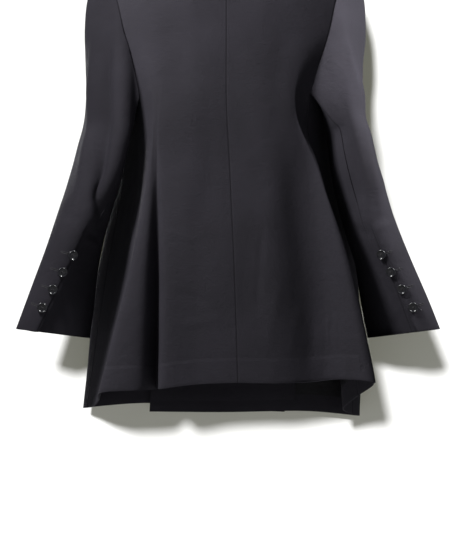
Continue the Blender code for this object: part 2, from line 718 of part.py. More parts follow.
def hanger():
    """A plain bar that follows the shoulder seams, with a ridge along its top."""
    stations = np.linspace(-HANGER_HALF, HANGER_HALF, HANGER_STATIONS)
    half = HANGER_HALF_THICK
    verts = []
    for x in stations:
        depth = HANGER_TIP_DEPTH + (HANGER_DEPTH - HANGER_TIP_DEPTH) * (1 - abs(x) / HANGER_HALF)
        flank = [(share * half, -drop) for share, drop in HANGER_RIDGE]
        flank += [(half, HANGER_EDGE - depth), (half - HANGER_EDGE, -depth)]
        section = [(0.0, 0.0)] + flank + [(-y, z) for y, z in reversed(flank)]
        verts += [(x, y, seam_height(x) + z) for y, z in section]
    return add_object("hanger", verts, tube_faces(len(stations), len(section)), WOOD)


def hook():
    """The hook's wire: a flange on the hanger's crown, a stem and a round bend."""
    centre_z = -HOOK_INNER_RADIUS
    bend = HOOK_INNER_RADIUS + HOOK_WIRE / 2
    path = [(x, HANGER_CROWN_Z + SEAM_GAP + rise) for x, rise, share in HOOK_FOOT]
    radii = [share for x, rise, share in HOOK_FOOT]
    for turn in np.radians(np.linspace(*HOOK_BEND, HOOK_BEND_STEPS)):
        path.append((bend * math.cos(turn), centre_z + bend * math.sin(turn)))
        radii.append(1.0)
    path = np.array(path)
    ways = unit(np.gradient(path, axis=0))
    ways[:3] = (0.0, 1.0)
    verts = []
    for (x, z), (way_x, way_z), share in zip(path, ways, radii):
        reach = share * HOOK_WIRE / 2
        for turn in np.linspace(0, 2 * math.pi, HOOK_SIDES, endpoint=False):
            verts.append((x - reach * math.cos(turn) * way_z, reach * math.sin(turn),
                          z + reach * math.cos(turn) * way_x))
    return add_object("hook", verts, tube_faces(len(path), HOOK_SIDES), STEEL)


def main():
    clear_scene()
    backs, fronts = {}, {}
    halves = {side: body_sheets(side) for side in (1, -1)}
    join_normals(halves[1][0], (slice(None), 0), halves[-1][0], (slice(None), 0))
    for side, word in ((1, "left"), (-1, "right")):
        back, flank, front = halves[side]
        loop = armhole(back, flank, front)
        counts = (UPPER_ROWS + 1, flank.points.shape[1] - 1, UPPER_ROWS - 1)
        top, under = sleeve_sheets(side, loop, counts)
        backs[word], fronts[word] = back, front
        for sheet, edges in ((back, ("left", "right", "top")), (flank, ("left", "right")),
                             (front, ("left", "top"))):
            for edge in edges:
                sheet.pull_back(edge, SEAM_GAP / 2)
        pieces = {"back": back, "side_panel": flank, "front": front,
                  "top_sleeve": top, "under_sleeve": under, "lapel": lapel_sheet(side, front)}
        for name, sheet in pieces.items():
            cloth_object(f"{name}_{word}", sheet)
        cuff_buttons(word, top)
    stations = collar_stations(backs["left"], backs["right"], fronts["left"], fronts["right"])
    cloth_object("collar", collar_sheet(stations))
    cloth_object("facing_right", facing_sheet(fronts["right"]), FACING_WALL)
    front_buttons(fronts["left"])
    hanger()
    hook()


main()
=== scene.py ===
"""The looks of a double-breasted jacket that hangs from a plain hanger, seen from behind.

Metres, +Z up. The camera looks along -Y at the jacket's back, and the wearer's left is +X.
"""
import math
from collections import namedtuple

import bmesh
import bpy
import numpy as np
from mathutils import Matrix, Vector
from mathutils.bvhtree import BVHTree
from mathutils.kdtree import KDTree


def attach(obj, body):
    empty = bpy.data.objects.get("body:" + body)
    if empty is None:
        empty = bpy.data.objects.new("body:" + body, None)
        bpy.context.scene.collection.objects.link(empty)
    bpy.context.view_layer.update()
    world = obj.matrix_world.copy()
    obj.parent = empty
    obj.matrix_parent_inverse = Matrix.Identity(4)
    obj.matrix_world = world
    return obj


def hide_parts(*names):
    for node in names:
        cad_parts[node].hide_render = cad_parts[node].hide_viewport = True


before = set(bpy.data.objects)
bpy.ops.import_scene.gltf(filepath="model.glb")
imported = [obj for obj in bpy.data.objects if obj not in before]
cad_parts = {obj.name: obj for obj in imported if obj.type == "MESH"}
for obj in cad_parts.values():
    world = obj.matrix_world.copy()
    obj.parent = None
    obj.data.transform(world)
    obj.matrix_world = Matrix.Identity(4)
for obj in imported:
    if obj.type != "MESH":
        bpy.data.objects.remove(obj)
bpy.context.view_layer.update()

# The camera: a focal length of 1286 pixels, where the photograph's height, 552, fills the sensor
SENSOR = 36
LENS = SENSOR * 1286 / 552
CAMERA_PLACE = (-0.005, 1.8836, -0.72685)
CAMERA_PITCH = math.radians(94)

# Cloth: the solids' walls, whose rim is told by edges of that length to WALL_SLACK, and how the
# fine shell is made from them
WALL = 0.0016
FACING_WALL = 0.0010
WALL_SLACK = 2e-5
WELD = 1e-5
EDGE_ROUND = 0.0004
WALL_CORNER = math.radians(40)
CLOTH_CORNER = math.radians(50)
FIT_STEPS = 3
FIT_LEVELS = 2
# What a face's material number says while its wall is shaped
OUTER, INNER, RIM = 0, 1, 2
# Edges within SEAM_REACH are sewn together, SEAM_CLOSE hides the gap between them, and a point
# past SEAM_SIGHT counts as FAR from a seam
SEAM_REACH = 0.0007
SEAM_CLOSE = 0.00017
SEAM_SIGHT = 0.012
FAR = 1.0
# The hem's turn-up, and how far down a rim's face looks where it is the hem
HEM_TURN = 0.033
HEM_FACING = -0.6
# The weave is laid on rounds of these radii
BODY_RADIUS = 0.14
SLEEVE_RADIUS = 0.055

# Buttons: ring by ring, the share of the radius and the height as a share of the diameter. A
# hole and its reach from the middle are shares of the radius.
BUTTON_TOP = 0.122
BUTTON_RINGS = (
    (0.0, 0.020), (0.50, 0.014), (0.78, 0.010), (0.93, 0.035), (0.985, 0.075), (1.0, 0.125),
    (0.985, 0.175), (0.94, 0.215), (0.88, 0.232), (0.82, 0.222), (0.75, 0.188), (0.66, 0.150),
    (0.54, 0.130), (0.40, 0.124), (0.0, BUTTON_TOP),
)
BUTTON_SIDES = 64
BUTTON_HOLE = 0.10
BUTTON_HOLE_REACH = 0.24
BUTTON_CORNER = math.radians(45)
BUTTON_SIZES = {"cuff": 0.0145, "front": 0.022}
SHANK = 0.0009
SHANK_RADIUS = 0.0016
THREAD = 0.00026
THREAD_SIDES = 6
STRAND_STEP = 0.9 * THREAD
# Half a strand from inside its hole to the middle: the share of the holes' reach, and the height
# over the button's top at the hole, or over the strand's own crown beyond it
STRAND_HOLE = ((1.05, -0.0011), (1.0, -0.0002))
STRAND_CROWN = ((0.72, 0.0002), (0, 0.0004))
# How far the cloth is looked for under a button, and under a stitch
SEAT_REACH = 0.008
STITCH_REACH = 0.005
# Worked buttonholes: length, width and thread for each kind of button, and where each starts
HOLE_SIZES = {"cuff": (0.0165, 0.0022, 0.00034), "front": (0.0250, 0.0030, 0.00048)}
HOLE_STARTS = {"cuff": -0.001, "front": -0.003}
HOLE_STITCHES = 46
STITCH_POINTS = 4
STITCH_SWELL = 0.22
STITCH_LIFT = 0.3
SLIT_LIFT = 0.00004
SLIT_POINTS = 16
# Loose ends of thread beside the cuff buttons: node, length, and turn from the buttonhole
TAILS = (
    ("cuff_button_right_3", 0.0060, 12),
    ("cuff_button_right_4", 0.0072, -16),
    ("cuff_button_right_2", 0.0034, 24),
)
TAIL_RADIUS = 0.00011
TAIL_START = 0.006
TAIL_POINTS = 12
TAIL_WAVE = 0.0007
TAIL_LIFT = (0.00015, 0.0012)

# Each piece of cloth: its creases' group, how often its mesh is divided, and the flat size it is
# cut to: width and length of its box, and its area
Cloth = namedtuple("Cloth", "node group levels width length area")
CLOTHS = (
    Cloth("back_left", "body", 3, 0.26, 0.70, 0.123),
    Cloth("back_right", "body", 3, 0.24, 0.69, 0.123),
    Cloth("side_panel_left", "body", 3, 0.11, 0.46, 0.046),
    Cloth("side_panel_right", "body", 3, 0.11, 0.47, 0.044),
    Cloth("front_left", "body", 2, 0.35, 0.73, 0.187),
    Cloth("front_right", "body", 2, 0.35, 0.73, 0.193),
    Cloth("facing_right", "body", 2, 0.22, 0.43, 0.083),
    Cloth("lapel_left", "body", 3, 0.12, 0.30, 0.015),
    Cloth("lapel_right", "body", 3, 0.12, 0.30, 0.015),
    Cloth("collar", "collar", 3, 0.46, 0.09, 0.038),
    Cloth("top_sleeve_left", "sleeve_left", 3, 0.25, 0.58, 0.116),
    Cloth("top_sleeve_right", "sleeve_right", 3, 0.25, 0.58, 0.106),
    Cloth("under_sleeve_left", "sleeve_left", 3, 0.14, 0.42, 0.041),
    Cloth("under_sleeve_right", "sleeve_right", 3, 0.14, 0.42, 0.037),
)
# Pieces with a lining above their hem's turn-up
LINED = ("back_left", "back_right", "side_panel_left", "side_panel_right",
         "front_left", "front_right")

# Middle line of a sleeve: height, and x and y from the top to the cuff
SLEEVE_AXIS = ((-0.10, 0.170, 0.0), (-0.384, 0.176, 0.004), (-0.505, 0.2075, 0.012),
               (-0.70, 0.254, 0.018))

# Creases: the side of the jacket that each is on, its half width, its height over the cloth, less
# than zero for a trough, and its path: x and z on the back and front, y and z on the left and
# right.
CREASES = {
    "body": (
        ("back", 0.022, -0.003, ((-0.052, -0.4), (-0.042, -0.5), (-0.034, -0.6), (-0.048, -0.7))),
        ("back", 0.016, 0.0012, ((0.06, -0.42), (0.056, -0.52), (0.05, -0.64))),
        ("back", 0.03, -0.0105, ((-0.098, -0.385), (-0.108, -0.475), (-0.128, -0.62),
         (-0.136, -0.72), (-0.14, -0.98))),
        ("back", 0.012, 0.0055, ((-0.13, -0.4), (-0.158, -0.54), (-0.18, -0.64), (-0.199, -0.73),
         (-0.215, -0.86))),
        ("back", 0.013, -0.001, ((0.03, -0.34), (0.024, -0.44), (0.028, -0.54))),
        ("back", 0.008, 0.0004, ((-0.108, -0.64), (-0.1004, -0.6574), (-0.092, -0.6973),
         (-0.088, -0.715))),
        ("back", 0.009, 0.0003, ((-0.116, -0.59), (-0.1116, -0.6261), (-0.1074, -0.6902),
         (-0.1032, -0.7286))),
        ("back", 0.006, -0.0004, ((-0.125, -0.65), (-0.1228, -0.6759), (-0.1186, -0.7144),
         (-0.117, -0.73))),
        ("back", 0.007, 0.0006, ((-0.135, -0.66), (-0.134, -0.683), (-0.1312, -0.7286),
         (-0.13, -0.745))),
        ("back", 0.008, 0.0006, ((-0.078, -0.6), (-0.0723, -0.6261), (-0.0611, -0.6759),
         (-0.058, -0.7))),
        ("back", 0.006, -0.0009, ((-0.052, -0.52), (-0.0499, -0.5549), (-0.0443, -0.6261),
         (-0.043, -0.65))),
        ("back", 0.004, 0.0008, ((0.085, -0.538), (0.0763, -0.5407), (0.0511, -0.5492),
         (0.04, -0.551))),
        ("back", 0.004, -0.0008, ((0.074, -0.622), (0.0651, -0.6261), (0.0301, -0.6346),
         (0.02, -0.636))),
        ("back", 0.0045, 0.0008, ((0.062, -0.671), (0.0511, -0.6688), (0.016, -0.6631),
         (0.006, -0.66))),
        ("back", 0.0014, 0.0006, ((-0.144, -0.712), (-0.144, -0.657), (-0.154, -0.657),
         (-0.154, -0.712))),
        ("back", 0.02, -0.0022, ((0.088, -0.225), (0.07, -0.28), (0.062, -0.35))),
        ("back", 0.018, -0.002, ((-0.095, -0.23), (-0.078, -0.285), (-0.07, -0.36))),
        ("back", 0.012, 0.0012, ((-0.06, -0.14), (0.0, -0.148), (0.06, -0.14))),
        ("front", 0.018, -0.0022, ((0.13, -0.27), (0.112, -0.35), (0.112, -0.43))),
        ("front", 0.016, -0.002, ((-0.125, -0.28), (-0.108, -0.36), (-0.11, -0.45))),
        ("front", 0.022, -0.002, ((0.15, -0.5), (0.166, -0.62), (0.172, -0.76))),
        ("front", 0.02, -0.0018, ((-0.14, -0.52), (-0.15, -0.64), (-0.156, -0.77))),
        ("front", 0.016, 0.0014, ((0.06, -0.64), (0.064, -0.7), (0.058, -0.77))),
        ("front", 0.012, -0.001, ((0.02, -0.43), (0.05, -0.436), (0.086, -0.428))),
        ("left", 0.014, -0.0018, ((0.018, -0.36), (0.012, -0.48), (0.016, -0.64))),
        ("right", 0.014, -0.0018, ((-0.015, -0.37), (-0.018, -0.5), (-0.02, -0.64))),
    ),
    "sleeve_left": (
        ("back", 0.01, 0.008, ((0.19, -0.23), (0.195, -0.31), (0.1965, -0.384), (0.203, -0.44),
         (0.211, -0.51))),
        ("back", 0.008, -0.014, ((0.168, -0.23), (0.174, -0.31), (0.1765, -0.384), (0.18, -0.44),
         (0.181, -0.49), (0.177, -0.53))),
        ("back", 0.014, 0.0075, ((0.146, -0.23), (0.147, -0.31), (0.148, -0.384), (0.155, -0.44),
         (0.165, -0.51))),
        ("back", 0.0045, -0.0018, ((0.166, -0.552), (0.184, -0.543), (0.204, -0.536))),
        ("back", 0.005, 0.0012, ((0.172, -0.562), (0.19, -0.553), (0.208, -0.545))),
        ("back", 0.012, -0.0018, ((0.134, -0.387), (0.149, -0.462), (0.16, -0.526))),
        ("back", 0.008, -0.001, ((0.222, -0.6), (0.208, -0.622), (0.2, -0.655))),
        ("back", 0.013, 0.005, ((0.176, -0.475), (0.1994, -0.526), (0.2664, -0.671),
         (0.29, -0.722))),
        ("left", 0.016, -0.0022, ((0.02, -0.23), (0.004, -0.29), (0.0, -0.36))),
        ("left", 0.012, -0.0018, ((-0.03, -0.44), (-0.01, -0.47), (0.018, -0.48))),
        ("left", 0.01, -0.0015, ((-0.036, -0.5), (-0.016, -0.52), (0.01, -0.524))),
        ("front", 0.011, -0.0022, ((0.16, -0.3), (0.176, -0.38), (0.188, -0.44))),
        ("front", 0.009, -0.002, ((0.18, -0.452), (0.198, -0.47), (0.222, -0.472))),
        ("front", 0.008, -0.0016, ((0.188, -0.5), (0.208, -0.516), (0.23, -0.512))),
        ("front", 0.01, -0.0012, ((0.204, -0.56), (0.222, -0.6), (0.226, -0.65))),
    ),
    "sleeve_right": (
        ("back", 0.013, 0.009, ((-0.172, -0.23), (-0.184, -0.31), (-0.1925, -0.378),
         (-0.205, -0.441), (-0.217, -0.483), (-0.236, -0.56))),
        ("back", 0.011, -0.0028, ((-0.158, -0.32), (-0.17, -0.4), (-0.184, -0.47),
         (-0.202, -0.54))),
        ("back", 0.0042, 0.0036, ((-0.172, -0.24), (-0.182, -0.31), (-0.1905, -0.378),
         (-0.2017, -0.441), (-0.213, -0.483), (-0.22, -0.53))),
        ("back", 0.008, -0.0014, ((-0.176, -0.4), (-0.186, -0.455), (-0.192, -0.5))),
        ("back", 0.006, -0.0014, ((-0.176, -0.523), (-0.192, -0.535), (-0.21, -0.541))),
        ("back", 0.006, -0.0012, ((-0.204, -0.4), (-0.217, -0.46), (-0.228, -0.52))),
        ("back", 0.008, -0.001, ((-0.246, -0.66), (-0.236, -0.668), (-0.222, -0.672))),
        ("back", 0.012, 0.004, ((-0.19, -0.48), (-0.2073, -0.527), (-0.2614, -0.668),
         (-0.281, -0.719))),
        ("left", 0.04, -0.007, ((0.02, -0.52), (0.02, -0.6), (0.02, -0.68), (0.02, -0.76))),
        ("right", 0.016, -0.0022, ((0.024, -0.24), (0.006, -0.3), (0.004, -0.37))),
        ("right", 0.011, -0.0018, ((-0.028, -0.452), (-0.008, -0.486), (0.022, -0.492))),
        ("right", 0.009, -0.0012, ((-0.034, -0.54), (-0.014, -0.552), (0.008, -0.55))),
        ("front", 0.011, -0.0022, ((-0.158, -0.31), (-0.174, -0.38), (-0.19, -0.452))),
        ("front", 0.0085, -0.002, ((-0.182, -0.47), (-0.2, -0.484), (-0.224, -0.49))),
        ("front", 0.008, -0.0015, ((-0.19, -0.524), (-0.212, -0.534), (-0.23, -0.528))),
        ("front", 0.01, -0.0012, ((-0.206, -0.58), (-0.22, -0.61), (-0.23, -0.65))),
    ),
    "collar": (),
}
# How much of a crease is left at its ends, how much of its path each end fades along, and how
# far the cloth turns to the crease's side between none of it and all of it
CREASE_ENDS = 0.15
CREASE_FADE = 0.3
CREASE_FACING = (0.1, 0.5)

# The vent's edge on the back of each cuff: x and z at its top and its bottom
VENTS = {
    "sleeve_left": ((0.1994, -0.526), (0.2664, -0.671)),
    "sleeve_right": ((-0.2073, -0.527), (-0.2614, -0.668)),
}
# The upper layer stands out by VENT_LAYER, in a step of half width VENT_STEP, and levels out
# over VENT_REACH. The other two fade it in along the edge and on the back's side.
VENT_LAYER = 0.0011
VENT_STEP = 0.0007
VENT_REACH = 0.03
VENT_ALONG = (-0.004, 0.012)
VENT_FACING = (0.1, 0.4)

# Slow waves that keep the cloth uneven: wave numbers, phase and height
Wave = namedtuple("Wave", "x y z phase height")
WAVES = (
    Wave(41, 23, 9, 0.3, 0.00035),
    Wave(-29, 37, 17, 1.9, 0.00030),
    Wave(67, -31, 21, 4.0, 0.00018),
    Wave(-53, 59, -33, 2.6, 0.00014),
    Wave(19, -47, 71, 5.1, 0.00012),
)


# Meshes

def unit(vectors):
    tiny = 1e-12
    return vectors / np.maximum(np.linalg.norm(vectors, axis=-1, keepdims=True), tiny)


def smoothstep(low, high, value):
    t = np.clip((value - low) / (high - low), 0, 1)
    return t * t * (3 - 2 * t)


def mesh_points(mesh):
    co = np.empty(len(mesh.vertices) * 3)
    mesh.vertices.foreach_get("co", co)
    return co.reshape(-1, 3)


def set_points(mesh, points):
    mesh.vertices.foreach_set("co", np.asarray(points, float).ravel())
    mesh.update()


def placed(name, data):
    made = bpy.data.objects.new(name, data)
    bpy.context.scene.collection.objects.link(made)
    return made


def add_piece(name, mesh, materials):
    """Links a mesh as a piece of the jacket, with its materials."""
    piece = placed(name, mesh)
    for finish in materials:
        mesh.materials.append(finish)
    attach(piece, "root")
    return piece


def mesh_of(name, parts):
    """One mesh from parts: each is points, faces and a material's number."""
    points, faces, slots = [], [], []
    for part_points, part_faces, slot in parts:
        start = len(points)
        points += [tuple(p) for p in part_points]
        faces += [tuple(start + i for i in f) for f in part_faces]
        slots += [slot] * len(part_faces)
    mesh = bpy.data.meshes.new(name)
    mesh.from_pydata(points, [], faces)
    mesh.polygons.foreach_set("material_index", slots)
    mesh.shade_smooth()
    mesh.update()
    return mesh


def tube(path, radius, sides=8, closed=False):
    """A tube along a path: points and faces, with ends filled unless it is closed."""
    path = np.asarray(path, float)
    count = len(path)
    if closed:
        ways = unit(np.roll(path, -1, axis=0) - np.roll(path, 1, axis=0))
    else:
        ways = unit(np.gradient(path, axis=0))
    guide = np.array([0.0, 0.0, 1.0]) if abs(ways[0][2]) < 0.9 else np.array([1.0, 0.0, 0.0])
    points = []
    for place, way in zip(path, ways):
        side = unit(np.cross(way, guide))
        guide = np.cross(side, way)
        for k in range(sides):
            turn = 2 * math.pi * k / sides
            points.append(place + radius * (math.cos(turn) * side + math.sin(turn) * guide))
    faces = []
    for r in range(count if closed else count - 1):
        n = (r + 1) % count
        for k in range(sides):
            m = (k + 1) % sides
            faces.append((r * sides + k, r * sides + m, n * sides + m, n * sides + k))
    if not closed:
        faces.append(tuple(range(sides)))
        faces.append(tuple((count - 1) * sides + k for k in reversed(range(sides))))
    return points, faces


# Shells: the cloth's solids with a fine surface

def welded(node):
    """The node's solid with its triangles' corners joined."""
    body = bmesh.new()
    body.from_mesh(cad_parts[node].data)
    bmesh.ops.remove_doubles(body, verts=body.verts, dist=WELD)
    return body


def sleeve_axis(points, side):
    """The sleeve's middle at each point's height. The left sleeve's side is 1."""
    z, x, y = np.array(SLEEVE_AXIS).T
    return np.column_stack([np.interp(-points[:, 2], -z, row) for row in (side * x, y)])


def outward(points, group):
    """A rough direction out of the garment, to tell the outer face from the inner one."""
    way = np.array(points)
    way[:, 2] = 0
    if group.startswith("sleeve"):
        way[:, :2] -= sleeve_axis(points, 1 if group == "sleeve_left" else -1)
    return way


def tag_faces(body, wall, group):
    """Marks the faces of a closed wall as outer, inner or rim by their material's number."""
    rim = {f for f in body.faces if any(abs(e.calc_length() - wall) < WALL_SLACK for e in f.edges)}
    left = set(body.faces) - rim
    sides = []
    while left:
        start = left.pop()
        island, queue = [start], [start]
        while queue:
            for edge in queue.pop().edges:
                for face in edge.link_faces:
                    if face in left:
                        left.discard(face)
                        island.append(face)
                        queue.append(face)
        places = np.array([f.calc_center_median() for f in island])
        normals = np.array([f.normal * f.calc_area() for f in island])
        sides.append((float(np.sum(normals * outward(places, group))), island))
    for share, island in sides:
        for face in island:
            face.material_index = OUTER if share > 0 else INNER
    for face in rim:
        face.material_index = RIM


def make_quads(body):
    """Joins each face's two triangles again, and creases the wall's edges."""
    for tag in (OUTER, INNER, RIM):
        faces = [f for f in body.faces if f.material_index == tag]
        bmesh.ops.join_triangles(body, faces=faces, angle_face_threshold=math.pi,
                                 angle_shape_threshold=math.pi, topology_influence=1.0)
    crease = body.edges.layers.float.new("crease_edge")
    for edge in body.edges:
        tags = {f.material_index for f in edge.link_faces}
        corner = tags == {RIM} and edge.calc_face_angle(0) > WALL_CORNER
        if len(tags) > 1 or corner:
            edge[crease] = 1.0


def subdivided(name, body, levels):
    """A smooth, finer mesh whose surface still goes through the coarse mesh's points."""
    mesh = bpy.data.meshes.new(name)
    body.to_mesh(mesh)
    body.free()
    holder = placed(name, mesh)
    finer = holder.modifiers.new("finer", "SUBSURF")
    target = mesh_points(mesh)
    cage = target.copy()
    for step in range(FIT_STEPS + 1):
        finer.levels = finer.render_levels = levels if step == FIT_STEPS else FIT_LEVELS
        bpy.context.view_layer.update()
        seen = holder.evaluated_get(bpy.context.evaluated_depsgraph_get())
        if step < FIT_STEPS:
            cage += target - mesh_points(seen.data)[:len(target)]
            set_points(mesh, cage)
    made = bpy.data.meshes.new_from_object(seen)
    made.name = name
    bpy.data.objects.remove(holder)
    return made


def cloth_normals(mesh):
    """Normals that point out of the garment at every point, on both of the wall's faces."""
    totals = np.zeros((len(mesh.vertices), 3))
    for face in mesh.polygons:
        if face.material_index != RIM:
            side = 1 if face.material_index == OUTER else -1
            push = np.array(face.normal) * face.area * side
            for v in face.vertices:
                totals[v] += push
    return unit(totals)


def crease_height(points, normals, side, half_width, height, path):
    """How far one crease moves each point out."""
    across, sign = {"back": (0, 1), "front": (0, -1), "left": (1, 1), "right": (1, -1)}[side]
    facing = sign * normals[:, 1 - across]
    flat = points[:, (across, 2)]
    path = np.array(path)
    near = np.full(len(points), np.inf)
    along = np.zeros(len(points))
    count = len(path) - 1
    for k in range(count):
        step = path[k + 1] - path[k]
        t = np.clip((flat - path[k]) @ step / (step @ step), 0, 1)
        gap = np.linalg.norm(flat - path[k] - t[:, None] * step, axis=1)
        along = np.where(gap < near, (k + t) / count, along)
        near = np.minimum(near, gap)
    fade = smoothstep(0, CREASE_FADE, along) * smoothstep(0, CREASE_FADE, 1 - along)
    fade = fade * (1 - CREASE_ENDS) + CREASE_ENDS
    bell = np.exp(-(near / half_width) ** 2)
    return height * bell * fade * smoothstep(*CREASE_FACING, facing)


def vent_edge(points, normals, group):
    """How far past the vent's edge each point is, and how much it belongs to the vent."""
    if group not in VENTS:
        return np.zeros(len(points)), np.zeros(len(points))
    top, foot = np.array(VENTS[group])
    way = unit(foot - top)
    off = points[:, (0, 2)] - top
    along = off @ way
    past = (off @ np.array([-way[1], way[0]])) * (1 if group == "sleeve_left" else -1)
    return past, smoothstep(*VENT_ALONG, along) * smoothstep(*VENT_FACING, normals[:, 1])


def relief(points, normals, group):
    """How far the cloth stands out from its solid at each point."""
    past, share = vent_edge(points, normals, group)
    height = VENT_LAYER * share * smoothstep(-VENT_STEP, VENT_STEP, past)
    height *= np.exp(-(past / VENT_REACH) ** 2)
    for crease in CREASES[group]:
        height += crease_height(points, normals, *crease)
    for wave in WAVES:
        turn = points @ np.array([wave.x, wave.y, wave.z]) + wave.phase
        height += wave.height * np.sin(turn)
    return height


def hem_height(points, hem, node):
    """How far each point is over its panel's hem."""
    across = 1 if node.startswith("side") else 0
    hem = hem[np.argsort(hem[:, across])]
    return points[:, 2] - np.interp(points[:, across], hem[:, across], hem[:, 2])


def hem_of(mesh):
    """The points of a panel's lower rim."""
    found = set()
    for face in mesh.polygons:
        if face.material_index == RIM and face.normal.z < HEM_FACING:
            found.update(face.vertices)
    return mesh_points(mesh)[sorted(found)]


def cloth_uv(mesh, points, group, node):
    """Lays the weave: round the garment and down it, both in metres."""
    if group.startswith("sleeve"):
        side = 1 if group == "sleeve_left" else -1
        flat = points[:, :2] - sleeve_axis(points, side)
        radius = SLEEVE_RADIUS
    else:
        side = -1 if node.endswith("right") else 1
        flat = points[:, :2]
        radius = BODY_RADIUS
    turn = np.arctan2(flat[:, 0], flat[:, 1])
    turn = np.mod(side * turn + math.pi / 2, 2 * math.pi) - math.pi / 2
    across = side * turn * radius
    layer = mesh.uv_layers.new(name="weave")
    corners = np.empty(len(mesh.loops), int)
    mesh.loops.foreach_get("vertex_index", corners)
    layer.data.foreach_set("uv", np.column_stack((across[corners], points[corners, 2])).ravel())


def rounded(mesh):
    """Rounds the wall's edges a little."""
    body = bmesh.new()
    body.from_mesh(mesh)
    edges = [e for e in body.edges if len({f.material_index == RIM for f in e.link_faces}) > 1]
    bmesh.ops.bevel(body, geom=edges, offset=EDGE_ROUND, segments=2, affect="EDGES",
                    profile=0.5, clamp_overlap=True)
    body.to_mesh(mesh)
    body.free()


def fine_mesh(row):
    """The node's wall, finer and smooth, with its normals."""
    body = welded(row.node)
    tag_faces(body, FACING_WALL if row.node.startswith("facing") else WALL, row.group)
    make_quads(body)
    mesh = subdivided(f"{row.node}_cloth", body, row.levels)
    return mesh, cloth_normals(mesh)


def join_seams(made):
    """Gives pieces the same normals where they meet, and finds each piece's points on a seam."""
    rims = {node: sorted({v for f in mesh.polygons if f.material_index == RIM for v in f.vertices})
            for node, (mesh, normals) in made.items()}
    owners = [node for node, rim in rims.items() for v in rim]
    known = np.array([made[node][1][v] for node, rim in rims.items() for v in rim])
    tree = KDTree(len(owners))
    for k, place in enumerate(made[node][0].vertices[v].co for node, rim in rims.items()
                              for v in rim):
        tree.insert(place, k)
    tree.balance()
    seams = {}
    for node, rim in rims.items():
        mesh, normals = made[node]
        seams[node] = set()
        for v in rim:
            near = [k for place, k, gap in tree.find_range(mesh.vertices[v].co, SEAM_REACH)]
            normals[v] = unit(known[near].sum(axis=0))
            if any(owners[k] != node for k in near):
                seams[node].add(v)
    return seams


def seam_gap(mesh, points, seam):
    """How far each point is from its piece's nearest seam."""
    faces = [tuple(f.vertices) for f in mesh.polygons
             if f.material_index == RIM and all(v in seam for v in f.vertices)]
    if not faces:
        return np.full(len(points), FAR)
    tree = BVHTree.FromPolygons([tuple(p) for p in points], faces)
    gaps = [tree.find_nearest(Vector(p), SEAM_SIGHT)[3] for p in points]
    return np.array([FAR if gap is None else gap for gap in gaps])


def close_seams(mesh):
    """Moves a wall's edges out by a hair, so that no light shows through a seam."""
    pushes = np.zeros((len(mesh.vertices), 3))
    for face in mesh.polygons:
        if face.material_index == RIM:
            for v in face.vertices:
                pushes[v] += np.array(face.normal) * face.area
    long = np.linalg.norm(pushes, axis=1) > 0
    points = mesh_points(mesh)
    points[long] += SEAM_CLOSE * unit(pushes[long])
    set_points(mesh, points)


def shaped(mesh, normals, row, seam):
    """Adds the creases, and lays what the cloth's material reads: the weave and some distances."""
    points = mesh_points(mesh)
    values = {"over_hem": np.full(len(points), FAR), "from_seam": seam_gap(mesh, points, seam)}
    values["past_vent"], values["vent_share"] = vent_edge(points, normals, row.group)
    if row.node in LINED:
        values["over_hem"] = hem_height(points, hem_of(mesh), row.node)
    set_points(mesh, points + relief(points, normals, row.group)[:, None] * normals)
    close_seams(mesh)
    for name, numbers in values.items():
        mesh.attributes.new(name, "FLOAT", "POINT").data.foreach_set("value", numbers)
    cloth_uv(mesh, mesh_points(mesh), row.group, row.node)


def cloth_piece(row, mesh, normals, seam):
    """The fine cloth that stands for one solid, with its inner side lined over the hem."""
    shaped(mesh, normals, row, seam)
    rounded(mesh)
    inside = lining if row.node in LINED or row.group.startswith("sleeve") else suiting
    if row.node in LINED:
        over = mesh.attributes["over_hem"].data
        for face in mesh.polygons:
            if face.material_index == INNER and over[face.vertices[0]].value < HEM_TURN:
                face.material_index = OUTER
    mesh.shade_smooth()
    mesh.set_sharp_from_angle(angle=CLOTH_CORNER)
    piece = add_piece(f"{row.node}_cloth", mesh, (suiting, inside, suiting))
    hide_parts(row.node)
    return piece


# Buttons, buttonholes and thread

def surface_of(pieces):
    """The shown cloth as one search tree, to seat buttons and stitches on."""
    points, faces = [], []
    for piece in pieces:
        start = len(points)
        points += [v.co.copy() for v in piece.data.vertices]
        faces += [[start + i for i in f.vertices] for f in piece.data.polygons]
    return BVHTree.FromPolygons(points, faces)


def seat_on(surface, place, normal, reach=SEAT_REACH):
    """The cloth's point and normal under a place, looking back along the normal."""
    start = Vector(place) + reach * Vector(normal)
    hit, found, face, gap = surface.ray_cast(start, -Vector(normal), 3 * reach)
    if hit is None:
        hit, found, face, gap = surface.find_nearest(Vector(place))
    return np.array(hit), np.array(found if found.dot(Vector(normal)) > 0 else -found)


def button_frame(node):
    """A button's middle and its way out, from its solid."""
    points = mesh_points(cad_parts[node].data)
    middle = (points.min(axis=0) + points.max(axis=0)) / 2
    normal = np.linalg.svd(points - points.mean(axis=0), full_matrices=False)[2][2]
    outside = 1 if node.startswith("cuff") else -1
    return middle, -normal if normal[1] * outside < 0 else normal


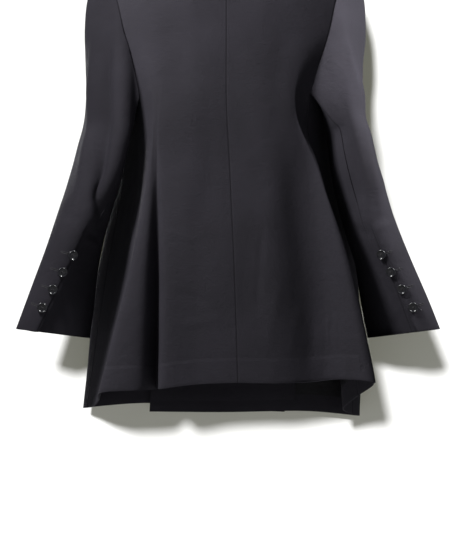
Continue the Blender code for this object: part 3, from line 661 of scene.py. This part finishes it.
def master_button(diameter):
    """One button at the origin, facing up, with a raised rim and four drilled holes."""
    radius = diameter / 2
    points, faces = [], []
    for share, height in BUTTON_RINGS:
        count = 1 if share == 0 else BUTTON_SIDES
        for k in range(count):
            turn = 2 * math.pi * k / BUTTON_SIDES
            points.append((share * radius * math.cos(turn), share * radius * math.sin(turn),
                           height * diameter))
    last = len(points) - 1
    for k in range(BUTTON_SIDES):
        n = (k + 1) % BUTTON_SIDES
        faces.append((0, 1 + n, 1 + k))
        for ring in range(len(BUTTON_RINGS) - 3):
            low = 1 + ring * BUTTON_SIDES
            high = low + BUTTON_SIDES
            faces.append((low + k, low + n, high + n, high + k))
        faces.append((last - BUTTON_SIDES + k, last - BUTTON_SIDES + n, last))
    solid = placed("button_master", mesh_of("button_master", [(points, faces, 0)]))
    cutters = []
    for quarter in range(4):
        turn = math.radians(45 + 90 * quarter)
        x = BUTTON_HOLE_REACH * radius * math.cos(turn)
        y = BUTTON_HOLE_REACH * radius * math.sin(turn)
        ends = [(x, y, -0.002), (x, y, 0.3 * diameter)]
        cutters.append((*tube(ends, BUTTON_HOLE * radius, 16), 0))
    drill = placed("button_drill", mesh_of("button_drill", cutters))
    cut = solid.modifiers.new("holes", "BOOLEAN")
    cut.operation = "DIFFERENCE"
    cut.solver = "EXACT"
    cut.object = drill
    seen = solid.evaluated_get(bpy.context.evaluated_depsgraph_get())
    mesh = bpy.data.meshes.new_from_object(seen)
    bpy.data.objects.remove(solid)
    bpy.data.objects.remove(drill)
    shape = [tuple(v.co) for v in mesh.vertices]
    return shape, [tuple(f.vertices) for f in mesh.polygons]


def sewing(diameter, shank):
    """The thread through a button's four holes, and the shank under it, round the origin."""
    reach = BUTTON_HOLE_REACH * diameter / 2
    top = BUTTON_TOP * diameter
    parts = []
    for turn, rise in ((45, 0.2), (135, 1.4)):
        way = np.array([math.cos(math.radians(turn)), math.sin(math.radians(turn)), 0])
        off = np.array([-way[1], way[0], 0])
        crown = top + STRAND_STEP * rise
        half = [(s, top + z) for s, z in STRAND_HOLE] + [(s, crown + z) for s, z in STRAND_CROWN]
        profile = [(-s, z) for s, z in half] + half[-2::-1]
        for strand in (-1, 0, 1):
            shift = STRAND_STEP * strand * off
            path = [s * reach * way + shift + np.array([0, 0, z]) for s, z in profile]
            parts.append((*tube(path, THREAD, THREAD_SIDES), 1))
    post = [(0, 0, -shank - 0.0006), (0, 0, -shank / 2), (0, 0, 0.03 * diameter)]
    parts.append((*tube(post, SHANK_RADIUS, 12), 1))
    return parts


def turned(points, place, side, normal):
    """Points of a small part moved to their place: x along side, z along normal."""
    side = unit(side - np.dot(side, normal) * normal)
    axes = np.array([side, np.cross(normal, side), normal])
    return np.array(points) @ axes + place


def sewn_button(node, kind, master, surface, side):
    """A button seated on the cloth on its thread."""
    middle, normal = button_frame(node)
    foot = seat_on(surface, middle, normal)[0]
    place = foot + SHANK * normal
    parts = [(turned(master[0], place, side, normal), master[1], 0)]
    for points, faces, slot in sewing(BUTTON_SIZES[kind], SHANK):
        parts.append((turned(points, place, side, normal), faces, slot))
    mesh = mesh_of(f"{node}_fine", parts)
    mesh.set_sharp_from_angle(angle=BUTTON_CORNER)
    piece = add_piece(f"{node}_fine", mesh, (gloss, thread))
    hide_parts(node)
    return foot, normal


def lifted(surface, place, normal, height):
    """A point of a stitch: on the cloth under its place, and out by a height."""
    hit, cloth = seat_on(surface, place, normal, STITCH_REACH)
    return hit + height * cloth


def hole_outline(straight, width):
    """Evenly spaced points round a slot of two straight sides and two half rounds."""
    bend = math.pi * width / 2
    count = HOLE_STITCHES * STITCH_POINTS
    spots = []
    for k in range(count):
        run = k / count * (2 * straight + 2 * bend)
        end = 1 if run < straight + bend else -1
        run -= 0 if end == 1 else straight + bend
        if run < straight:
            spots.append((end * (run - straight / 2), -end * width / 2))
        else:
            turn = (run - straight) / (width / 2) - math.pi / 2
            spots.append((end * (straight / 2 + width / 2 * math.cos(turn)),
                          end * width / 2 * math.sin(turn)))
    return spots


def worked_hole(surface, place, normal, way, size, start):
    """A worked buttonhole: stitches all round a slit of painted shade, a dark strand, from a
    button towards way.
    """
    length, width, radius = size
    way = unit(way - np.dot(way, normal) * normal)
    off = np.cross(normal, way)
    middle = place + (start + length / 2) * way
    straight = length - width
    path = [lifted(surface, middle + x * way + y * off, normal, STITCH_LIFT * radius)
            for x, y in hole_outline(straight, width)]
    points, faces = tube(path, radius, THREAD_SIDES, closed=True)
    for k, spot in enumerate(path):
        swell = 1.0 + STITCH_SWELL * math.cos(2 * math.pi * k / STITCH_POINTS)
        ring = slice(k * THREAD_SIDES, (k + 1) * THREAD_SIDES)
        points[ring] = [spot + (p - spot) * swell for p in points[ring]]
    # Painted shade: a near-black strand along the slit stands for the shade in the cut
    slit = [lifted(surface, middle + x * way, normal, SLIT_LIFT)
            for x in np.linspace(-straight / 2, straight / 2, SLIT_POINTS)]
    return [(points, faces, 0), (*tube(slit, 0.5 * radius, THREAD_SIDES), 1)]


def loose_end(surface, place, normal, way, length):
    """A short loose end of thread that lies on the cloth and lifts at its tip."""
    way = unit(way - np.dot(way, normal) * normal)
    off = np.cross(normal, way)
    path = []
    for t in np.linspace(0, 1, TAIL_POINTS):
        spot = place + (TAIL_START + t * length) * way + TAIL_WAVE * math.sin(5 * t) * off
        path.append(lifted(surface, spot, normal, TAIL_LIFT[0] + TAIL_LIFT[1] * t * t))
    return [(*tube(path, TAIL_RADIUS, 5), 0)]


# Materials

class Shader:
    """A material's node tree with short calls to add and link its nodes."""

    def __init__(self, name, colour, roughness, **settings):
        self.material = bpy.data.materials.new(name)
        self.material.use_nodes = True
        self.tree = self.material.node_tree
        self.surface = self.tree.nodes["Principled BSDF"]
        self.set(self.surface, {"Base Color": (*colour, 1), "Roughness": roughness, **settings})

    def set(self, node, values):
        for socket, value in values.items():
            node.inputs[socket].default_value = value

    def add(self, kind, links=None, values=None, **settings):
        node = self.tree.nodes.new(kind)
        for key, value in settings.items():
            setattr(node, key, value)
        self.set(node, values or {})
        for socket, source in (links or {}).items():
            self.tree.links.new(source, node.inputs[socket])
        return node

    def math(self, operation, first, second=None, third=None):
        node = self.tree.nodes.new("ShaderNodeMath")
        node.operation = operation
        for socket, value in zip(node.inputs, (first, second, third)):
            if isinstance(value, (int, float)):
                socket.default_value = value
            elif value is not None:
                self.tree.links.new(value, socket)
        return node.outputs[0]

    def ramp(self, source, low, high, start=0.0, end=1.0):
        node = self.add("ShaderNodeMapRange", {"Value": source},
                        {"From Min": start, "From Max": end, "To Min": low, "To Max": high})
        return node.outputs[0]

    def mix(self, share, first, second):
        node = self.add("ShaderNodeMix", {"Factor": share}, data_type="RGBA")
        for socket, value in ((node.inputs[6], first), (node.inputs[7], second)):
            if isinstance(value, tuple):
                socket.default_value = (*value, 1)
            else:
                self.tree.links.new(value, socket)
        return node.outputs[2]

    def place(self):
        return self.add("ShaderNodeTexCoord").outputs["Object"]

    def stretched(self, place, scale):
        return self.add("ShaderNodeMapping", {"Vector": place}, {"Scale": scale}).outputs[0]

    def noise(self, place, scale, detail, distortion=0.0):
        values = {"Scale": scale, "Detail": detail, "Distortion": distortion}
        return self.add("ShaderNodeTexNoise", {"Vector": place}, values).outputs[0]

    def attribute(self, name):
        return self.add("ShaderNodeAttribute", attribute_name=name).outputs["Fac"]

    def link(self, source, socket):
        self.tree.links.new(source, self.surface.inputs[socket])

    def bump(self, height, distance, strength=1.0, normal=None):
        links = {"Height": height}
        if normal is not None:
            links["Normal"] = normal
        node = self.add("ShaderNodeBump", links, {"Strength": strength, "Distance": distance})
        return node.outputs[0]


def scaled(colour, share):
    return tuple(share * c for c in colour)


def glossy(name, colour, roughness, **settings):
    """Polished resin with faint clouding and fine scratches."""
    made = Shader(name, colour, roughness, **settings)
    place = made.place()
    cloud = made.noise(place, 240, 3)
    scratch = made.noise(place, 900, 4, 1.5)
    made.link(made.mix(cloud, scaled(colour, 0.7), scaled(colour, 1.5)), "Base Color")
    made.link(made.ramp(scratch, 0.7 * roughness, 1.5 * roughness, 0.3, 0.7), "Roughness")
    made.link(made.bump(scratch, 0.00001), "Normal")
    return made.material


def twisted(name, colour, roughness):
    """Sewing thread: two plies twisted together."""
    made = Shader(name, colour, roughness, **{"Sheen Weight": 0.15, "Specular IOR Level": 0.3})
    values = {"Scale": 700, "Distortion": 1.0, "Detail": 1}
    twist = made.add("ShaderNodeTexWave", {"Vector": made.place()}, values,
                     bands_direction="DIAGONAL").outputs["Fac"]
    made.link(made.mix(twist, scaled(colour, 0.5), scaled(colour, 1.4)), "Base Color")
    made.link(made.bump(twist, 0.00006), "Normal")
    return made.material


def grained(name, dark, light, roughness):
    """Varnished beech: long grain along X with short flecks."""
    made = Shader(name, light, roughness, **{"Coat Weight": 0.35, "Coat Roughness": 0.18})
    place = made.place()
    grain = made.noise(made.stretched(place, (4, 60, 60)), 6, 6, 0.6)
    fleck = made.noise(made.stretched(place, (60, 900, 900)), 2, 3)
    tone = made.math("MULTIPLY_ADD", fleck, 0.35, made.math("MULTIPLY", grain, 0.65))
    made.link(made.mix(made.ramp(tone, 0, 1, 0.35, 0.65), dark, light), "Base Color")
    made.link(made.ramp(tone, roughness + 0.12, roughness - 0.05, 0.3, 0.7), "Roughness")
    made.link(made.bump(tone, 0.00012), "Normal")
    return made.material


def plated(name, colour, roughness):
    """Polished plated wire with faint draw marks."""
    made = Shader(name, colour, roughness, Metallic=1.0)
    place = made.place()
    marks = made.noise(place, 420, 4)
    haze = made.noise(place, 45, 2)
    made.link(made.mix(haze, scaled(colour, 0.86), colour), "Base Color")
    made.link(made.ramp(haze, roughness, roughness + 0.12, 0.3, 0.7), "Roughness")
    made.link(made.bump(marks, 0.00001), "Normal")
    return made.material


# Woven cloth, in metres: how deep each bump is, and half the width of the hem's step
WRINKLE_DEPTH = 0.0015
CRINKLE_DEPTH = 0.0006
SEAM_DEPTH = 0.0004
VENT_DEPTH = 0.0010
HEM_DEPTH = 0.0008
HEM_STEP = 0.0022
# Distances from a seam where its groove ends and its painted shade starts and ends
GROOVE_WIDTH = 0.0016
SEAM_SHADE = (0.0002, 0.0012)
# Distances past the vent's edge, less than zero on the lower layer: the flap's step, and where
# the painted shade beside it starts and ends
FLAP_STEP = (-0.0005, 0.0004)
SHADE_START = (-0.0030, -0.0004)
SHADE_END = (-0.0003, 0.0002)
# The painted shade in a seam's groove and beside a vent's flap: its colour as a share of the dark
# yarn's
PAINTED_SHADE_TONE = 0.80


def woven(name, dark, light, roughness, twill, twill_depth, settings, hem=False):
    """Woven cloth: twill ribs, slubs, unevenness, seams, vents, a pressed hem; painted shade at
    seams and vent flaps, painted light on the hem band.
    """
    made = Shader(name, light, roughness, **settings)
    uv = made.add("ShaderNodeUVMap", uv_map="weave").outputs[0]
    place = made.place()
    parts = made.add("ShaderNodeSeparateXYZ", {"Vector": uv}).outputs
    across = made.math("MULTIPLY", parts[0], 2 * math.pi / twill)
    down = made.math("MULTIPLY", parts[1], 2 * math.pi / twill)
    diagonal = made.math("SINE", made.math("ADD", across, down))
    warp = made.math("SINE", made.math("MULTIPLY", across, 2.0))
    ribs = made.math("MULTIPLY_ADD", warp, 0.35, diagonal)
    slub = made.noise(uv, 900, 3)
    cloud = made.noise(place, 9, 4)
    wrinkle = made.noise(place, 26, 2, 0.3)
    crinkle = made.noise(made.stretched(place, (85, 85, 120)), 1, 4, 0.8)
    tone = made.math("ADD", made.math("MULTIPLY", slub, 0.35), made.math("MULTIPLY", cloud, 0.65))
    shade = made.math("MULTIPLY_ADD", ribs, 0.06, tone)
    normal = made.bump(crinkle, CRINKLE_DEPTH, normal=made.bump(wrinkle, WRINKLE_DEPTH))
    gap = made.attribute("from_seam")
    normal = made.bump(made.ramp(gap, 0.0, 1.0, 0.0, GROOVE_WIDTH), SEAM_DEPTH, normal=normal)
    past = made.attribute("past_vent")
    share = made.attribute("vent_share")
    flap = made.math("MULTIPLY", share, made.ramp(past, 0.0, 1.0, *FLAP_STEP))
    normal = made.bump(flap, VENT_DEPTH, normal=normal)
    # Painted shade: the lower layer beside the vent's flap is darkened, as if in the flap's shade
    under = made.math("SUBTRACT", made.ramp(past, 0.0, 1.0, *SHADE_START),
                      made.ramp(past, 0.0, 1.0, *SHADE_END))
    if hem:
        over = made.attribute("over_hem")
        step = made.ramp(over, 1.0, 0.0, HEM_TURN - HEM_STEP, HEM_TURN + HEM_STEP)
        normal = made.bump(step, HEM_DEPTH, normal=normal)
        # Painted light: the band below the hem's line is made a little lighter, as if its double
        # layer caught more light
        shade = made.math("MULTIPLY_ADD", step, 0.05, shade)
    colour = made.mix(made.ramp(shade, 0, 1, 0.3, 0.7), dark, light)
    painted_shade_tone = scaled(dark, PAINTED_SHADE_TONE)
    colour = made.mix(made.math("MULTIPLY", share, under), colour, painted_shade_tone)
    # Painted shade: the cloth darkens towards a seam, as if its groove were in shade
    colour = made.mix(made.ramp(gap, 0.0, 1.0, *SEAM_SHADE), painted_shade_tone, colour)
    made.link(colour, "Base Color")
    made.link(made.ramp(cloud, roughness - 0.06, roughness + 0.06, 0.3, 0.7), "Roughness")
    normal = made.bump(made.math("MULTIPLY_ADD", slub, 0.8, ribs), twill_depth, normal=normal)
    made.link(normal, "Normal")
    return made.material


suiting = woven("suiting_twill", (0.0150, 0.0138, 0.0178), (0.0268, 0.0248, 0.0316),
                roughness=0.80, twill=0.0008, twill_depth=0.00006, hem=True,
                settings={"Sheen Weight": 0.03, "Sheen Roughness": 0.4,
                          "Sheen Tint": (0.75, 0.75, 0.9, 1), "Specular IOR Level": 0.12})
lining = woven("lining_satin", (0.0055, 0.0050, 0.0066), (0.0095, 0.0088, 0.0112),
               roughness=0.48, twill=0.0005, twill_depth=0.00002,
               settings={"Specular IOR Level": 0.20, "Anisotropic": 0.4})

gloss = glossy("button_gloss", (0.010, 0.010, 0.012), 0.22, **{"Specular IOR Level": 0.35})
thread = twisted("thread_black", (0.018, 0.017, 0.020), 0.75)
tail_thread = twisted("thread_end", (0.14, 0.14, 0.15), 0.7)
# Painted shade: a near-black strand, made like thread, that stands for the shade in a buttonhole's
# slit
slit_painted_shade = twisted("painted_slit_shade", (0.004, 0.004, 0.005), 0.9)
beech = grained("hanger_beech", (0.20, 0.115, 0.055), (0.42, 0.27, 0.15), 0.38)
steel = plated("hook_steel_plated", (0.72, 0.72, 0.74), 0.14)


# The stage and its lamps

# The floor's corners in x and y, the wall's in x and z, and the wall's faint glow
FLOOR_Z = -1.20
FLOOR = ((-2, -2), (2, -2), (2, 3), (-2, 3))
BACKDROP_Y = -0.108
BACKDROP = ((1.3, FLOOR_Z), (-1.3, FLOOR_Z), (-1.3, 0.6), (1.3, 0.6))
PALE = (0.80, 0.80, 0.80)
GLOW = (0.04, 0.04, 0.01, 1)
# The jacket's lamps: place, aim, side in metres and watts
Lamp = namedtuple("Lamp", "place aim side power")
LAMPS = {
    "key": Lamp((0.70, 0.58, 0.30), (0, 0, -0.55), 0.30, 27),
    "front_soft": Lamp((0.6, -1.8, 0.4), (0, 0, -0.4), 1.2, 32),
    "rim": Lamp((-0.70, 0.50, 0.12), (-0.20, 0.05, -0.36), 0.25, 5),
    "left_soft": Lamp((0.55, 0.85, 0.35), (0.20, 0.05, -0.45), 0.30, 23),
}
RIM_SPREAD = math.radians(80)
# The wall's own lamp
SUN_STRENGTH = 4.5
SUN_WIDTH = math.radians(7)
SUN_WAY = (-0.24, -1.0, -0.36)
# The world's strength as light, and as the camera sees it
WORLD_LIGHT, WORLD_SEEN = 0.11, 0.75
WORLD_COLOUR = (0.95, 0.97, 1.0, 1)


def plane(name, corners, material):
    mesh = bpy.data.meshes.new(name)
    mesh.from_pydata(corners, [], [(0, 1, 2, 3)])
    made = placed(name, mesh)
    mesh.materials.append(material)
    return made


def aimed(way):
    return Vector(way).to_track_quat("-Z", "Y").to_euler()


def area_light(name, lamp):
    data = bpy.data.lights.new(name, "AREA")
    data.size = lamp.side
    data.energy = lamp.power
    made = placed(name, data)
    made.location = lamp.place
    made.rotation_euler = aimed(Vector(lamp.aim) - Vector(lamp.place))
    return made


def lamp_for(lamp, pieces, state):
    """Has a lamp light only these pieces (INCLUDE) or all but these (EXCLUDE)."""
    lit = bpy.data.collections.new(f"{lamp.name}_lit")
    for piece in pieces:
        lit.objects.link(piece)
    for entry in lit.collection_objects:
        entry.light_linking.link_state = state
    lamp.light_linking.receiver_collection = lit


def one_sided(made):
    """Lets the wall be seen from the jacket's side only, and lets light through it."""
    facing = made.add("ShaderNodeNewGeometry").outputs["Backfacing"]
    seen = made.add("ShaderNodeLightPath").outputs["Is Camera Ray"]
    clear = made.add("ShaderNodeBsdfTransparent").outputs[0]
    share = made.math("MAXIMUM", facing, made.math("SUBTRACT", 1.0, seen))
    mixed = made.add("ShaderNodeMixShader", {0: share, 1: made.surface.outputs[0], 2: clear})
    made.tree.links.new(mixed.outputs[0], made.tree.nodes["Material Output"].inputs["Surface"])
    return made.material


floor_paint = Shader("pale_floor", PALE, 0.9).material
wall_paint = one_sided(Shader("pale_wall", PALE, 0.95,
                              **{"Emission Color": GLOW, "Emission Strength": 1.0}))
stage = [plane("floor", [(x, y, FLOOR_Z) for x, y in FLOOR], floor_paint),
         plane("backdrop", [(x, BACKDROP_Y, z) for x, z in BACKDROP], wall_paint)]

lamps = {name: area_light(name, lamp) for name, lamp in LAMPS.items()}
lamps["rim"].data.spread = RIM_SPREAD
wall_lamp = placed("wall_lamp", bpy.data.lights.new("wall_lamp", "SUN"))
wall_lamp.data.energy = SUN_STRENGTH
wall_lamp.data.angle = SUN_WIDTH
wall_lamp.rotation_euler = aimed(SUN_WAY)
lamp_for(wall_lamp, stage, "INCLUDE")

world = bpy.data.worlds.new("studio")
world.use_nodes = True
sky = world.node_tree
seen = sky.nodes.new("ShaderNodeLightPath").outputs["Is Camera Ray"]
strength = sky.nodes.new("ShaderNodeMapRange")
strength.inputs["To Min"].default_value = WORLD_LIGHT
strength.inputs["To Max"].default_value = WORLD_SEEN
sky.links.new(seen, strength.inputs["Value"])
sky.links.new(strength.outputs[0], sky.nodes["Background"].inputs["Strength"])
sky.nodes["Background"].inputs["Color"].default_value = WORLD_COLOUR
scene = bpy.context.scene
scene.world = world
scene.view_settings.view_transform = "Standard"

camera = placed("camera", bpy.data.cameras.new("camera"))
camera.location = CAMERA_PLACE
camera.rotation_euler = (CAMERA_PITCH, 0, math.pi)
camera.data.lens = LENS
camera.data.sensor_width = SENSOR
camera.data.clip_start = 0.01
scene.camera = camera


# The jacket

# First its cloth, and the lamps that light only some of it
fine = {row.node: fine_mesh(row) for row in CLOTHS}
seams = join_seams(fine)
cloths = {row.node: cloth_piece(row, *fine[row.node], seams[row.node]) for row in CLOTHS}
left_sleeve = [piece for node, piece in cloths.items() if "sleeve_left" in node]
side_panels = [cloths["side_panel_left"], cloths["side_panel_right"]]
no_rim = [piece for node, piece in cloths.items() if "sleeve_right" not in node]
lamp_for(lamps["left_soft"], left_sleeve, "INCLUDE")
lamp_for(lamps["key"], stage + left_sleeve, "EXCLUDE")
lamp_for(lamps["front_soft"], stage + side_panels, "EXCLUDE")
lamp_for(lamps["rim"], stage + no_rim, "EXCLUDE")

# Then its buttons. A cuff button's column is its arm, left or right. A front button is in the
# column at the edge, with a buttonhole, or in the one at the side, without.
BUTTONS = [(f"cuff_button_{arm}_{number}", "cuff", arm)
           for arm in ("left", "right") for number in range(1, 5)]
BUTTONS += [(f"front_button_{column}_{number}", "front", column)
            for column in ("edge", "side") for number in range(1, 4)]
# How much a cuff's buttons and buttonholes lean with the sleeve
CUFF_LEAN = 0.35


def sewn_ways(kind, column):
    """Which way a button's side points, and which way its buttonhole runs."""
    if kind == "front":
        return np.array([0.0, 0.0, 1.0]), np.array([1.0, 0.0, 0.0])
    out = 1.0 if column == "left" else -1.0
    return np.array([out * CUFF_LEAN, 0.0, -1.0]), np.array([out, 0.0, CUFF_LEAN])


def stitched(name, parts, materials):
    """A piece of thread that is sewn through the cloth."""
    piece = add_piece(name, mesh_of(name, parts), materials)


def smoothed(node, material, sharp):
    """The node's own solid with its corners joined and smooth shading."""
    body = welded(node)
    mesh = bpy.data.meshes.new(f"{node}_smooth")
    body.to_mesh(mesh)
    body.free()
    mesh.materials.clear()
    mesh.shade_smooth()
    mesh.set_sharp_from_angle(angle=math.radians(sharp))
    piece = add_piece(f"{node}_smooth", mesh, (material,))
    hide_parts(node)


surface = surface_of(cloths.values())
masters = {kind: master_button(size) for kind, size in BUTTON_SIZES.items()}
seats = {node: sewn_button(node, kind, masters[kind], surface, sewn_ways(kind, column)[0])
         for node, kind, column in BUTTONS}
for kind in BUTTON_SIZES:
    holes = []
    for node, own_kind, column in BUTTONS:
        if own_kind == kind and column != "side":
            holes += worked_hole(surface, *seats[node], sewn_ways(kind, column)[1],
                                 HOLE_SIZES[kind], HOLE_STARTS[kind])
    stitched(f"{kind}_buttonholes", holes, (thread, slit_painted_shade))
ends = []
for node, length, turn in TAILS:
    way = np.array([-math.cos(math.radians(turn)), 0.0, math.sin(math.radians(turn))])
    ends += loose_end(surface, *seats[node], way, length)
stitched("thread_ends", ends, (tail_thread,))

# Last, what holds it up
smoothed("hanger", beech, 40)
smoothed("hook", steel, 50)
